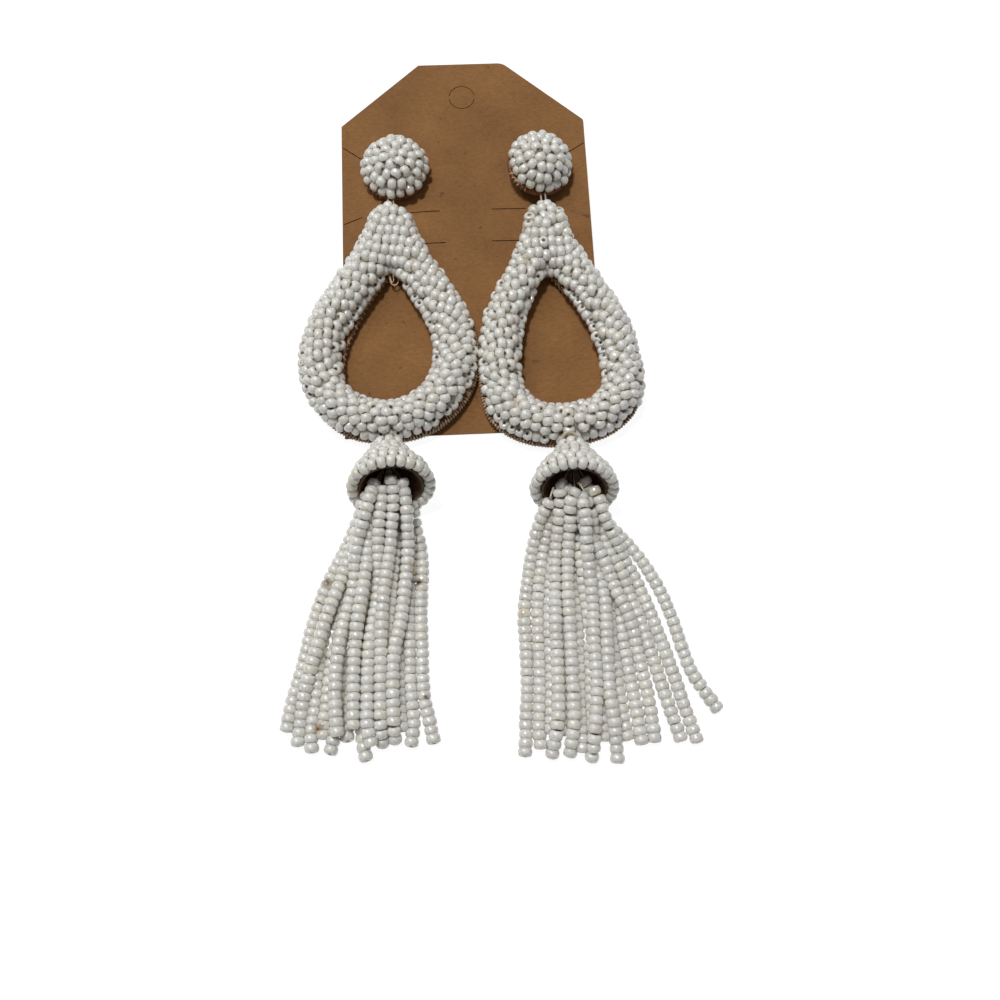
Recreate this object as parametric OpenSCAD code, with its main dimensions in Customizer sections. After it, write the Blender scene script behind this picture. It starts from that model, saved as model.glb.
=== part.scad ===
/* [Card] */
// Width of the kraft card
card_w = 50; // [46:0.5:54]
// Height of the kraft card
card_h = 81.5; // [79:0.5:84]
// Thickness of the card
card_t = 0.4; // [0.3:0.05:0.6]
// Width of each cut upper corner
corner_w = 16.2; // [12:0.2:18]
// Height of each cut upper corner
corner_h = 14.1; // [10:0.1:16]
// Rounding of the worn upper right corner
worn_r = 3; // [1:0.5:4]
// Diameter of the die-cut hang circle
hang_d = 5.4; // [4:0.1:6]
// Distance of the hang circle below the top edge
hang_drop = 8; // [6:0.5:10]
// Angle at which the posts and nuts prop the card up
card_tilt = 8; // [7:0.5:8]

/* [Stud] */
// Radius of the left beaded dome
left_dome_r = 6.95; // [6.5:0.05:7.3]
// Radius of the right beaded dome
right_dome_r = 6.65; // [6.5:0.05:7.3]
// Height of the beaded dome
dome_h = 5.9; // [5:0.1:6.5]
// Radius of the leather disc under the dome
disc_r = 6.4; // [6:0.1:6.6]
// Thickness of the leather disc and of the leather ring
leather_t = 1; // [1:0.1:1.2]
// Radius of the ear post
post_r = 0.4; // [0.35:0.05:0.45]
// Radius of the flat pad on the post
pad_r = 2.5; // [1.5:0.1:4]
// Largest radius of the nut behind the card
nut_r = 2.5; // [2:0.1:3]
// Height of the nut
nut_h = 4.5; // [3:0.1:4.8]
// Sideways lean of the right stud
right_lean = 11; // [6:1:12]

/* [Hoop] */
// Height of the beaded ring's wall at its edges
rim_h = 1.1; // [0.8:0.1:1.5]
// Height of the beaded ring at the middle of its band
crown_h = 5; // [4:0.1:5.5]
// Distance from an edge at which the band reaches its full height
shoulder = 3.5; // [2.5:0.1:3.6]
// Angle at which the hoops lie
hoop_tilt = 7; // [7:0.1:7.2]

/* [Cap and tassel] */
// Thickness of the bell's beaded wall
bell_wall = 2.1; // [1.8:0.1:2.2]
// Thickness of the leather cup in the bell
lining_t = 1; // [1:0.1:1.2]
// Upward tilt of the bell's mouth
mouth_tilt = 17.5; // [16:0.5:19]

/* [Hidden] */
$fn = 64;

// Clearances
seat_gap = 0.3;
pad_gap = 0.1;
pad_t = 0.3;
bore_gap = 0.05;
notch_r = 0.24;
notch_h = 0.6;
hoop_gap = 0.2;
lining_gap = 0.15;

// Studs: place on the card, from its lower edge, and sideways lean
left_stud = [-14.1, 56.0];
right_stud = [14.8, 55.3];
post_hole_r = 0.7;

// Hoops: place of the widest part's centre on the floor, and height of the underside there
left_hoop_at = [-16.3, 14.5, 3.35];
right_hoop_at = [16.65, 11, 2.95];
// How far each leather ring is shifted against its beads
left_slip = [0.45, -0.3];
right_slip = [-0.35, -0.3];

// Hoop rows run from the top to the bottom, one for each section of the band
OUT_X = 0;
OUT_Y = 1;
WIN_X = 2;
WIN_Y = 3;
AXIS_X = 4;
// columns: outer half width, outer height, window half width, window height, sideways shift
left_rows = [
    [0, 32.6, 0, 17.9, 1.0],
    [3.4, 30.8, 0.9, 17.3, 1.0],
    [5.0, 26.8, 1.9, 16.0, 1.0],
    [7.3, 21.9, 3.1, 14.2, 0.9],
    [10.2, 17.2, 4.6, 12.1, 0.8],
    [13.3, 12.5, 6.8, 8.4, 0.6],
    [15.7, 6.9, 8.6, 4.3, 0.3],
    [16.6, 0.5, 9.2, 0.4, 0],
    [15.6, -5.5, 8.4, -3.5, -0.2],
    [12.4, -10.8, 6.3, -6.7, -0.5],
    [7.2, -14.7, 3.4, -8.5, -0.7],
    [0, -16.1, 0, -9.1, -0.7]
];
right_rows = [
    [0, 35.4, 0, 20.2, -1.2],
    [3.3, 33.5, 1.0, 19.4, -1.2],
    [4.5, 29.0, 1.9, 18.0, -1.1],
    [7.0, 23.6, 3.2, 15.9, -1.0],
    [9.8, 18.3, 4.6, 13.6, -0.9],
    [12.6, 13.0, 6.0, 10.4, -0.7],
    [14.4, 7.6, 7.2, 6.6, -0.4],
    [15.2, 1.2, 8.0, 1.8, -0.1],
    [15.1, -4.0, 7.9, -2.8, 0],
    [13.3, -9.0, 6.4, -5.5, -0.1],
    [7.9, -13.1, 3.6, -7.2, -0.4],
    [0, -14.6, 0, -7.7, -0.6]
];
// Stations between two rows, and steps across the band
row_steps = 3;
band_steps = 8;

// Bells: mouth centre on the floor, and turn about the vertical
left_mouth = [-15.7, -14.4];
right_mouth = [16.8, -16.2];
left_turn = 4.8;
right_turn = -3.7;
// columns: distance from the neck along the axis, outer radius
bell_rows = [
    [0, 2.6],
    [0.5, 3.1],
    [2.5, 3.4],
    [4.0, 4.1],
    [6.0, 5.5],
    [8.0, 6.8],
    [10.0, 7.7],
    [11.3, 8.0],
    [12.3, 8.1]
];
// Closed end of the leather cup, from the neck
cup_floor = 3.6;

// Tassels
ROW_Y = 0;
ROW_LEFT = 1;
ROW_RIGHT = 2;
ROW_LOW = 3;
ROW_TOP = 4;
// columns: place along the strands, left edge, right edge, underside, top
left_tassel_rows = [
    [-9.6, -18.0, -14.2, 5.1, 8.7],
    [-12, -18.8, -13.0, 4.3, 9.8],
    [-14.5, -19.2, -12.4, 4.7, 10.0],
    [-16.3, -20.0, -11.7, 4.3, 9.6],
    [-18, -23.4, -10.6, 2.4, 9.0],
    [-20, -24.3, -10.3, 0.2, 8.2],
    [-25, -26.9, -10.2, 0, 6.7],
    [-30, -29.4, -10.5, 0, 5.3],
    [-36, -31.3, -10.9, 0, 4.3],
    [-42, -32.5, -10.7, 0, 3.7],
    [-50, -34.3, -9.7, 0, 2.7],
    [-55, -35.3, -8.7, 0, 2.3],
    [-58, -32.6, -9.4, 0, 2.2],
    [-59.4, -29.8, -19.6, 0, 2.2]
];
right_tassel_rows = [
    [-11.6, 15.2, 19.0, 5.1, 8.7],
    [-14, 14.1, 19.8, 4.3, 9.8],
    [-16.4, 13.5, 20.2, 4.7, 10.0],
    [-18.1, 12.9, 20.9, 4.3, 9.4],
    [-20, 10.2, 24.2, 2.4, 8.4],
    [-22, 9.4, 25.8, 0.2, 7.6],
    [-26, 8.3, 28.9, 0, 6.4],
    [-30, 7.0, 31.2, 0, 5.3],
    [-36, 5.5, 33.5, 0, 4.3],
    [-42, 5.8, 34.8, 0, 3.7],
    [-50, 5.7, 37.2, 0, 2.7],
    [-55, 4.9, 39.7, 0, 2.3],
    [-59, 4.5, 35.6, 0, 2.2],
    [-62, 8.6, 21.9, 0, 2.2]
];
// Roundness of a tassel's section, and points around it
tassel_power = 3;
tassel_points = 24;

// The origin is the centre of the whole object's footprint
reach_left = min([for (row = left_tassel_rows) row[ROW_LEFT]]);
reach_right = max([for (row = right_tassel_rows) row[ROW_RIGHT]]);
reach_front = min([for (row = right_tassel_rows) row[ROW_Y]]);
reach_back = card_h * cos(card_tilt);
centre = [(reach_left + reach_right) / 2, (reach_front + reach_back) / 2];

// Slits in the card, in its own plane
slit_w = 0.2;
// columns: start x, start y, end x, end y
slits = [
    [-24.7, 62.4, -20.9, 59.6],
    [24.7, 61.9, 21.5, 59.9],
    [-24.7, 45.0, -21.0, 46.5],
    [24.7, 45.0, 21.0, 46.5],
    [-11.9, 47.2, -5.4, 47.4],
    [-11.2, 40.2, -4.5, 40.3],
    [5.1, 47.4, 11.9, 47.3],
    [4.8, 40.3, 11.2, 40.2]
];
hang_kerf = 0.15;
hang_bridge = 0.8;

// Points of an arc of radius r that rounds the corner b between a and c
function round_corner(a, b, c, r, steps = 6) =
    let (
        u = (a - b) / norm(a - b),
        v = (c - b) / norm(c - b),
        half = acos(u * v) / 2,
        middle = b + (u + v) / norm(u + v) * r / sin(half),
        from = b + u * r / tan(half) - middle,
        to = b + v * r / tan(half) - middle,
        sweep = 180 - 2 * half,
        side = sign(from[0] * to[1] - from[1] * to[0])
    )
    [for (i = [0:steps])
        let (turn = side * sweep * i / steps)
        middle + [
            from[0] * cos(turn) - from[1] * sin(turn),
            from[0] * sin(turn) + from[1] * cos(turn)
        ]
    ];

// Smooth curve through a closed ring of points
function spline(a, b, c, d, t) =
    0.5 * (2 * b + (c - a) * t + (2 * a - 5 * b + 4 * c - d) * t * t + (3 * b - a - 3 * c + d) * t * t * t);
function smooth_ring(points, steps) =
    let (n = len(points))
    [for (i = [0:n - 1], k = [0:steps - 1])
        spline(points[(i + n - 1) % n], points[i], points[(i + 1) % n], points[(i + 2) % n], k / steps)
    ];

// One side of a hoop, as pairs of an outer point and a window point
function hoop_side(rows, side) =
    [for (row = rows) [
        row[AXIS_X] + side * row[OUT_X], row[OUT_Y],
        row[AXIS_X] + side * row[WIN_X], row[WIN_Y]
    ]];
function hoop_ring(rows) =
    let (
        right = hoop_side(rows, 1),
        left = hoop_side(rows, -1),
        n = len(rows)
    )
    smooth_ring(concat(right, [for (i = [n - 2:-1:1]) left[i]]), row_steps);

// Height of the beaded band at a distance from its nearest edge
function band_height(edge) =
    let (rest = 1 - min(edge / shoulder, 1))
    rim_h + (crown_h - rim_h) * sqrt(1 - rest * rest);

// Section of the band from its outer point to its window point
function band_section(pair) =
    let (
        outer = [pair[0], pair[1]],
        inner = [pair[2], pair[3]],
        span = norm(inner - outer)
    )
    concat(
        [[outer[0], outer[1], 0]],
        [for (j = [0:band_steps])
            let (
                s = (1 - cos(180 * j / band_steps)) / 2,
                p = outer + s * (inner - outer)
            )
            [p[0], p[1], band_height(min(s, 1 - s) * span)]
        ],
        [[inner[0], inner[1], 0]]
    );

// Rounded section of a tassel across its strands
function rounded(c, power) = sign(c) * pow(abs(c), 2 / power);
function tassel_section(row) =
    let (
        middle = (row[ROW_LEFT] + row[ROW_RIGHT]) / 2,
        half_w = (row[ROW_RIGHT] - row[ROW_LEFT]) / 2,
        level = (row[ROW_LOW] + row[ROW_TOP]) / 2,
        half_h = (row[ROW_TOP] - row[ROW_LOW]) / 2
    )
    [for (i = [0:tassel_points - 1])
        let (a = 360 * i / tassel_points)
        [
            middle + half_w * rounded(cos(a), tassel_power),
            row[ROW_Y],
            level + half_h * rounded(sin(a), tassel_power)
        ]
    ];

// Skin of quads over equal rings of points, closed around each ring
function ring_quads(rings, points, closed) =
    [for (i = [0:rings - (closed ? 1 : 2)], j = [0:points - 1])
        let (
            i2 = (i + 1) % rings,
            j2 = (j + 1) % points
        )
        [i * points + j, i * points + j2, i2 * points + j2, i2 * points + j]
    ];

module on_floor() {
    translate([-centre[0], -centre[1], 0]) children();
}

module on_card() {
    on_floor() rotate([card_tilt, 0, 0]) children();
}

// How far a leaning stud's underside centre stands above the card
function stud_lift(lean) = seat_gap + disc_r * sin(lean);

module on_stud(place, lean) {
    on_card()
        translate([place[0], place[1], card_t + stud_lift(lean)])
            rotate([0, lean, 0])
                children();
}

module slit(row) {
    from = [row[0], row[1]];
    run = [row[2], row[3]] - from;
    translate(from)
        rotate(atan2(run[1], run[0]))
            translate([0, -slit_w / 2]) square([norm(run), slit_w]);
}

module hang_circle() {
    translate([0, card_h - hang_drop])
        difference() {
            circle(d = hang_d);
            circle(d = hang_d - 2 * hang_kerf);
            square([hang_d + 1, hang_bridge], center = true);
        }
}

// The post crosses the card's middle a little to one side when the stud leans
module post_hole(place, lean) {
    drift = (stud_lift(lean) + card_t / 2) * tan(lean);
    translate([place[0] - drift, place[1]]) circle(r = post_hole_r);
}

module card_outline() {
    half = card_w / 2;
    top_left = [-half + corner_w, card_h];
    top_right = [half - corner_w, card_h];
    side_right = [half, card_h - corner_h];
    polygon(concat(
        [[-half, 0], [-half, card_h - corner_h], top_left],
        round_corner(top_left, top_right, side_right, worn_r),
        round_corner(top_right, side_right, [half, 0], worn_r / 3),
        [[half, 0]]
    ));
}

module display_card() {
    color("peru")
        on_card()
            linear_extrude(card_t)
                difference() {
                    card_outline();
                    hang_circle();
                    post_hole(left_stud, 0);
                    post_hole(right_stud, right_lean);
                    for (row = slits) slit(row);
                }
}

module stud_dome(place, lean, radius) {
    rows = 10;
    base = leather_t + 2 * pad_gap + pad_t;
    profile = [for (i = [0:rows]) [radius * cos(90 * i / rows), dome_h * sin(90 * i / rows)]];
    color("white")
        on_stud(place, lean)
            translate([0, 0, base])
                rotate_extrude()
                    polygon(concat([[0, 0]], profile));
}

module stud_backing(place, lean) {
    color("saddlebrown")
        on_stud(place, lean)
            difference() {
                cylinder(r = disc_r, h = leather_t);
                translate([0, 0, -1]) cylinder(r = post_r + pad_gap, h = leather_t + 2);
            }
}

// Height of the nut's flange on the post, just behind the card
function nut_top(lean) = -(stud_lift(lean) + card_t) / cos(lean) - pad_gap - nut_r * tan(lean);

// The post has a notch between its tip, which stands on the floor past the nut, and its shank
module ear_post(place, lean) {
    rise = place[1] * sin(card_tilt) + (card_t + stud_lift(lean)) * cos(card_tilt);
    drop = (rise - post_r) / (cos(card_tilt) * cos(lean));
    tip_top = nut_top(lean) - nut_h - notch_h;
    shank_base = tip_top + notch_h;
    shank_top = leather_t + pad_gap;
    color("silver")
        on_stud(place, lean)
            rotate_extrude() {
                intersection() {
                    translate([0, -drop]) circle(r = post_r);
                    translate([0, -drop - post_r]) square([post_r, post_r]);
                }
                translate([0, -drop]) square([post_r, tip_top + drop]);
                translate([0, tip_top]) square([notch_r, notch_h]);
                translate([0, shank_base]) square([post_r, shank_top - shank_base]);
                translate([0, shank_top]) square([pad_r, pad_t]);
            }
}

// A bullet-shaped nut with a flange that bears on the card from behind
module ear_nut(place, lean) {
    flange_h = 0.9;
    nose_h = 1;
    barrel_r = 0.7 * nut_r;
    nose_r = 0.5 * nut_r;
    bore_r = post_r + bore_gap;
    color("silver")
        on_stud(place, lean)
            translate([0, 0, nut_top(lean)])
                rotate_extrude()
                    polygon([
                        [bore_r, 0],
                        [nut_r, 0],
                        [nut_r, -flange_h],
                        [barrel_r, -flange_h],
                        [barrel_r, -nut_h + nose_h],
                        [nose_r, -nut_h],
                        [bore_r, -nut_h]
                    ]);
}

module on_hoop(at) {
    on_floor() translate(at) rotate([hoop_tilt, 0, 0]) children();
}

module hoop(rows, at) {
    ring = hoop_ring(rows);
    sections = [for (pair = ring) band_section(pair)];
    points = [for (section = sections) each section];
    color("white")
        on_hoop(at)
            translate([0, 0, leather_t + hoop_gap])
                polyhedron(points, ring_quads(len(sections), band_steps + 3, true), convexity = 6);
}

module hoop_backing(rows, at, slip) {
    ring = hoop_ring(rows);
    color("saddlebrown")
        on_hoop(at)
            translate([slip[0], slip[1], 0])
                linear_extrude(leather_t)
                    difference() {
                        polygon([for (pair = ring) [pair[0], pair[1]]]);
                        polygon([for (pair = ring) [pair[2], pair[3]]]);
                    }
}

bell_len = bell_rows[len(bell_rows) - 1][0];
bell_r = bell_rows[len(bell_rows) - 1][1];

// Height of the mouth's centre at which the bell's flank rests on the floor
mouth_z = max([for (row = bell_rows)
    row[1] * cos(mouth_tilt) + (bell_len - row[0]) * sin(mouth_tilt)
]);

// The bell's axis runs from its neck at zero to its mouth
module on_mouth(mouth, turn) {
    on_floor()
        translate([mouth[0], mouth[1], mouth_z])
            rotate([0, 0, turn])
                rotate([90 - mouth_tilt, 0, 0])
                    translate([0, 0, -bell_len])
                        children();
}

function bell_radius(t) = lookup(t, bell_rows);

// Half section of the hollow that starts at a depth and stays a distance inside the bell
function bell_hollow(from, wall) =
    concat(
        [[0, from]],
        [for (i = [0:8])
            let (t = from + (bell_len - from) * i / 8)
            [max(bell_radius(t) - wall, 1), t]
        ],
        [[0, bell_len]]
    );

module cap(mouth, turn) {
    outer = [for (row = bell_rows) [row[1], row[0]]];
    color("white")
        on_mouth(mouth, turn)
            difference() {
                rotate_extrude() polygon(concat([[0, 0]], outer, [[0, bell_len]]));
                rotate_extrude() polygon(bell_hollow(cup_floor, bell_wall));
                translate([0, 0, bell_len - 0.01]) cylinder(r = bell_r - bell_wall, h = 1);
            }
}

module cap_lining(mouth, turn) {
    outside = bell_wall + lining_gap;
    inside = outside + lining_t;
    color("sienna")
        on_mouth(mouth, turn)
            difference() {
                rotate_extrude() polygon(bell_hollow(cup_floor + lining_gap, outside));
                rotate_extrude() polygon(bell_hollow(cup_floor + lining_gap + lining_t, inside));
                translate([0, 0, bell_len - 0.01]) cylinder(r = bell_r - inside, h = 1);
            }
}

module tassel(rows) {
    sections = [for (row = rows) tassel_section(row)];
    points = [for (section = sections) each section];
    n = len(sections);
    first = [for (j = [tassel_points - 1:-1:0]) j];
    last = [for (j = [0:tassel_points - 1]) (n - 1) * tassel_points + j];
    color("whitesmoke")
        on_floor()
            polyhedron(points, concat(ring_quads(n, tassel_points, false), [first, last]), convexity = 4);
}

display_card();
stud_dome(left_stud, 0, left_dome_r);  // left_stud_dome
stud_backing(left_stud, 0);  // left_stud_backing
ear_post(left_stud, 0);  // left_ear_post
ear_nut(left_stud, 0);  // left_ear_nut
hoop(left_rows, left_hoop_at);  // left_hoop
hoop_backing(left_rows, left_hoop_at, left_slip);  // left_hoop_backing
cap(left_mouth, left_turn);  // left_cap
cap_lining(left_mouth, left_turn);  // left_cap_lining
tassel(left_tassel_rows);  // left_tassel
stud_dome(right_stud, right_lean, right_dome_r);  // right_stud_dome
stud_backing(right_stud, right_lean);  // right_stud_backing
ear_post(right_stud, right_lean);  // right_ear_post
ear_nut(right_stud, right_lean);  // right_ear_nut
hoop(right_rows, right_hoop_at);  // right_hoop
hoop_backing(right_rows, right_hoop_at, right_slip);  // right_hoop_backing
cap(right_mouth, right_turn);  // right_cap
cap_lining(right_mouth, right_turn);  // right_cap_lining
tassel(right_tassel_rows);  // right_tassel
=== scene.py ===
import math
from collections import deque

import bpy
import numpy as np
from mathutils import Matrix, Vector
from mathutils.bvhtree import BVHTree


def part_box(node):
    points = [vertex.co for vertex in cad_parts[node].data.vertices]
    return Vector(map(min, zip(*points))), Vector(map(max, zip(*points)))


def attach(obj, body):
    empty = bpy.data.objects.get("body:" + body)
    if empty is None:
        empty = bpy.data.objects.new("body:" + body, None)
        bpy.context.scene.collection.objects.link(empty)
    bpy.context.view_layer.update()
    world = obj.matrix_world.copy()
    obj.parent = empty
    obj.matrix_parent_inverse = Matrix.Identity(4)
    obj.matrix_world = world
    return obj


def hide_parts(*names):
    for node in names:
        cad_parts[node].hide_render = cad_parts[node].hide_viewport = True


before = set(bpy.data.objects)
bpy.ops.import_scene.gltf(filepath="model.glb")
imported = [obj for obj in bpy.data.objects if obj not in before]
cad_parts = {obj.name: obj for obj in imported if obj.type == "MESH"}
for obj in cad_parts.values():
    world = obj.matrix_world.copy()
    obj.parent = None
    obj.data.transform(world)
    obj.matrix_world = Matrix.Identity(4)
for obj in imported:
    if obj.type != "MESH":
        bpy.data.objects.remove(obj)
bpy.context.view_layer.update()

# Sizes, all in millimetres, and angles in degrees
MM = 0.001
CARD_T = 0.4
CARD_TILT = 8.0
HOOP_TILT = 7.0
MOUTH_TILT = 17.5
MOUTH_Z = 8.035
LEATHER_T = 1.0
HOOP_BASE = 1.2
DOME_BASE = 1.5
SEAT_GAP = 0.3
DISC_R = 6.4
BELL_LEN = 12.3

# One seed bead: radius, half length and the mesh steps round it
BEAD_R = 1.06
BEAD_HALF = 0.76
BEAD_TURNS = 14
# columns: place along the hole, radius of a round bead, radius of a full one, lightness there, which is
# painted shade in the hole and a little at the ends
BEAD_PROFILE = np.array([
    [0.755, 0.54, 0.66, 0.98],
    [0.67, 0.79, 0.86, 1.0],
    [0.42, 0.99, 1.015, 1.0],
    [0.0, 1.07, 1.07, 1.0],
    [-0.42, 0.99, 1.015, 1.0],
    [-0.67, 0.79, 0.86, 1.0],
    [-0.755, 0.54, 0.66, 0.98],
    [-0.68, 0.22, 0.22, 0.4],
    [0.68, 0.22, 0.22, 0.4],
])
# Sizes of the beads of each part against the unit bead: across and along the hole
HOOP_SIZE = (1.10, 1.14)
DOME_SIZE = (1.09, 1.12)
CAP_SIZE = (1.04, 1.08)
STRAND_SIZE = (1.16, 1.06)

# The charts are measured from the middle of the card's lower edge, on the floor
card_lo, card_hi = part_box("display_card")
ORIGIN = np.array([
    (card_lo.x + card_hi.x) / 2,
    card_lo.y + CARD_T * MM * math.sin(math.radians(CARD_TILT)),
    0.0,
])


# Places and turns

X, Y, Z = 0, 1, 2


def turned(axis, angle):
    """The matrix of a turn about one axis."""
    c, s = math.cos(math.radians(angle)), math.sin(math.radians(angle))
    a, b = (axis + 1) % 3, (axis + 2) % 3
    matrix = np.eye(3)
    matrix[a, a] = matrix[b, b] = c
    matrix[a, b] = -s
    matrix[b, a] = s
    return matrix


class Place:
    """A local frame in the charts' millimetres: a turn and an origin."""

    def __init__(self, turn, origin):
        self.turn = np.array(turn, float)
        self.origin = np.array(origin, float)

    def out(self, points):
        return np.asarray(points, float) @ self.turn.T + self.origin

    def into(self, points):
        return (np.asarray(points, float) - self.origin) @ self.turn


def stud_place(x, y, lean):
    tilt = turned(X, CARD_TILT)
    lift = SEAT_GAP + DISC_R * math.sin(math.radians(lean))
    return Place(tilt @ turned(Y, lean), tilt @ np.array([x, y, CARD_T + lift]))


def hoop_place(x, y, z):
    return Place(turned(X, HOOP_TILT), (x, y, z))


def bell_place(x, y, z, turn):
    matrix = turned(Z, turn) @ turned(X, 90 - MOUTH_TILT)
    return Place(matrix, np.array([x, y, z]) - matrix @ np.array([0, 0, BELL_LEN]))


STUDS = {"left": stud_place(-14.1, 56.0, 0.0), "right": stud_place(14.8, 55.3, 11.0)}
HOOPS = {"left": hoop_place(-16.3, 14.5, 3.35), "right": hoop_place(16.65, 11.0, 2.95)}
BELLS = {
    "left": bell_place(-15.7, -14.4, MOUTH_Z, 4.8),
    "right": bell_place(16.8, -16.2, MOUTH_Z, -3.7),
}


# Mesh helpers

def to_frame(points):
    """Charted millimetres to the frame's metres."""
    return np.asarray(points, float) * MM + ORIGIN


def unit(vectors):
    vectors = np.asarray(vectors, float)
    length = np.linalg.norm(vectors, axis=-1, keepdims=True)
    return vectors / np.maximum(length, 1e-9)


def linked(name, data):
    made = bpy.data.objects.new(name, data)
    bpy.context.scene.collection.objects.link(made)
    return made


def piece(name, points, faces, material, slot, replaced=()):
    """A smooth mesh piece from charted points, on the one body."""
    mesh = bpy.data.meshes.new(name)
    mesh.from_pydata(to_frame(points).tolist(), [], [tuple(map(int, f)) for f in faces])
    mesh.update()
    mesh.shade_smooth()
    mesh.materials.append(material)
    made = linked(name, mesh)
    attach(made, "root")
    if replaced:
        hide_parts(*replaced)
    return made


def paint(made, name, colours):
    """A colour for each vertex, which the materials read by name."""
    layer = made.data.color_attributes.new(name, "FLOAT_COLOR", "POINT")
    rgba = np.ones((len(colours), 4), np.float32)
    rgba[:, :3] = colours
    layer.data.foreach_set("color", rgba.ravel())


def grid_faces(rows, columns, close_rows, close_columns):
    """Quads over a grid of points kept row by row."""
    faces = []
    for i in range(rows if close_rows else rows - 1):
        for j in range(columns if close_columns else columns - 1):
            here = i * columns
            after = (i + 1) % rows * columns
            beside = (j + 1) % columns
            faces.append((here + j, here + beside, after + beside, after + j))
    return faces


def side_frames(tangents, near=(0.0, 0.0, 1.0)):
    """Two unit vectors across each tangent."""
    tangents = unit(tangents)
    guide = np.broadcast_to(np.array(near, float), tangents.shape).copy()
    along = np.abs((tangents * guide).sum(-1)) > 0.95
    guide[along] = (1.0, 0.0, 0.0)
    across = unit(np.cross(guide, tangents))
    return across, np.cross(tangents, across)


def tube(path, radius, sides=6):
    """Points and faces of a tube along a path, closed by a point at each end."""
    path = np.asarray(path, float)
    tangents = np.gradient(path, axis=0)
    across, up = side_frames(tangents)
    angles = np.arange(sides) * 2 * math.pi / sides
    ring = np.cos(angles)[None, :, None] * across[:, None] + np.sin(angles)[None, :, None] * up[:, None]
    points = (path[:, None] + radius * ring).reshape(-1, 3)
    n = len(path)
    faces = grid_faces(n, sides, False, True)
    caps = np.array([path[0], path[-1]])
    low = [(n * sides, (j + 1) % sides, j) for j in range(sides)]
    last = (n - 1) * sides
    high = [(n * sides + 1, last + j, last + (j + 1) % sides) for j in range(sides)]
    return np.vstack([points, caps]), faces + low + high


def joined(parts):
    """One list of points and faces from several."""
    points, faces, first = [], [], 0
    for part_points, part_faces in parts:
        points.append(part_points)
        faces.extend(tuple(first + v for v in f) for f in part_faces)
        first += len(part_points)
    return np.vstack(points), faces


def smooth_path(points, steps):
    """Catmull-Rom curve through points, with a number of steps between two of them."""
    points = np.asarray(points, float)
    path = []
    for i in range(len(points) - 1):
        a = points[max(i - 1, 0)]
        b = points[i]
        c = points[i + 1]
        d = points[min(i + 2, len(points) - 1)]
        for k in range(steps):
            t = k / steps
            square = (2 * a - 5 * b + 4 * c - d) * t ** 2
            cube = (3 * b - a - 3 * c + d) * t ** 3
            path.append(0.5 * (2 * b + (c - a) * t + square + cube))
    path.append(points[-1])
    return np.array(path)


def circle(radius, count):
    """Points round the local Z axis."""
    angles = np.arange(count) * 2 * math.pi / count
    return radius * np.stack([np.cos(angles), np.sin(angles)], axis=1)


def evenly(path, pitch, closed=False):
    """The same path with points at an even pitch."""
    path = np.asarray(path, float)
    if closed:
        path = np.vstack([path, path[:1]])
    steps = np.linalg.norm(np.diff(path, axis=0), axis=1)
    at = np.concatenate([[0.0], np.cumsum(steps)])
    count = max(int(round(at[-1] / pitch)), 1)
    wanted = np.linspace(0, at[-1], count + 1)
    if closed:
        wanted = wanted[:-1]
    return np.stack([np.interp(wanted, at, path[:, k]) for k in range(path.shape[1])], axis=1)


# Materials

def new_material(name):
    material = bpy.data.materials.new(name)
    material.use_nodes = True
    tree = material.node_tree
    return material, tree, tree.nodes["Principled BSDF"]


def add(tree, kind, **values):
    node = tree.nodes.new(kind)
    for key, value in values.items():
        setattr(node, key, value)
    return node


def fill_in(node, values):
    """Sets a node's inputs, by name or number: each to a value, or to another node's socket."""
    for key, value in values.items():
        if isinstance(value, bpy.types.NodeSocket):
            node.id_data.links.new(value, node.inputs[key])
        else:
            node.inputs[key].default_value = value


def noise(tree, scale, detail=2.0, roughness=0.5, stretch=(1, 1, 1)):
    """Noise over the frame's own coordinates, in features per metre."""
    coords = add(tree, "ShaderNodeTexCoord")
    mapping = add(tree, "ShaderNodeMapping")
    fill_in(mapping, {"Scale": stretch, "Vector": coords.outputs["Object"]})
    texture = add(tree, "ShaderNodeTexNoise")
    settings = {"Scale": scale, "Detail": detail, "Roughness": roughness}
    fill_in(texture, {**settings, "Vector": mapping.outputs["Vector"]})
    return texture.outputs["Fac"]


def ramp(tree, value, stops):
    """Colours at places along a value: each stop is a place and a colour."""
    made = add(tree, "ShaderNodeValToRGB")
    elements = made.color_ramp.elements
    while len(elements) < len(stops):
        elements.new(0.5)
    for element, (place, colour) in zip(elements, stops):
        element.position = place
        element.color = (*colour, 1.0)
    tree.links.new(value, made.inputs["Fac"])
    return made.outputs["Color"]


def mixed(tree, blend, factor, first, second):
    """Two colours mixed; each may be a socket or a colour, and the factor a socket or a number."""
    made = add(tree, "ShaderNodeMix", data_type="RGBA", blend_type=blend)
    for number, value in ((0, factor), (6, first), (7, second)):
        if isinstance(value, tuple):
            value = (*value, 1.0)
        fill_in(made, {number: value})
    return made.outputs[2]


def bump(tree, shader, height, strength, distance):
    made = add(tree, "ShaderNodeBump")
    fill_in(made, {"Strength": strength, "Distance": distance, "Height": height})
    fill_in(shader, {"Normal": made.outputs["Normal"]})


def map_range(tree, value, low, high):
    made = add(tree, "ShaderNodeMapRange")
    fill_in(made, {"To Min": low, "To Max": high, "Value": value})
    return made.outputs["Result"]


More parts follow.
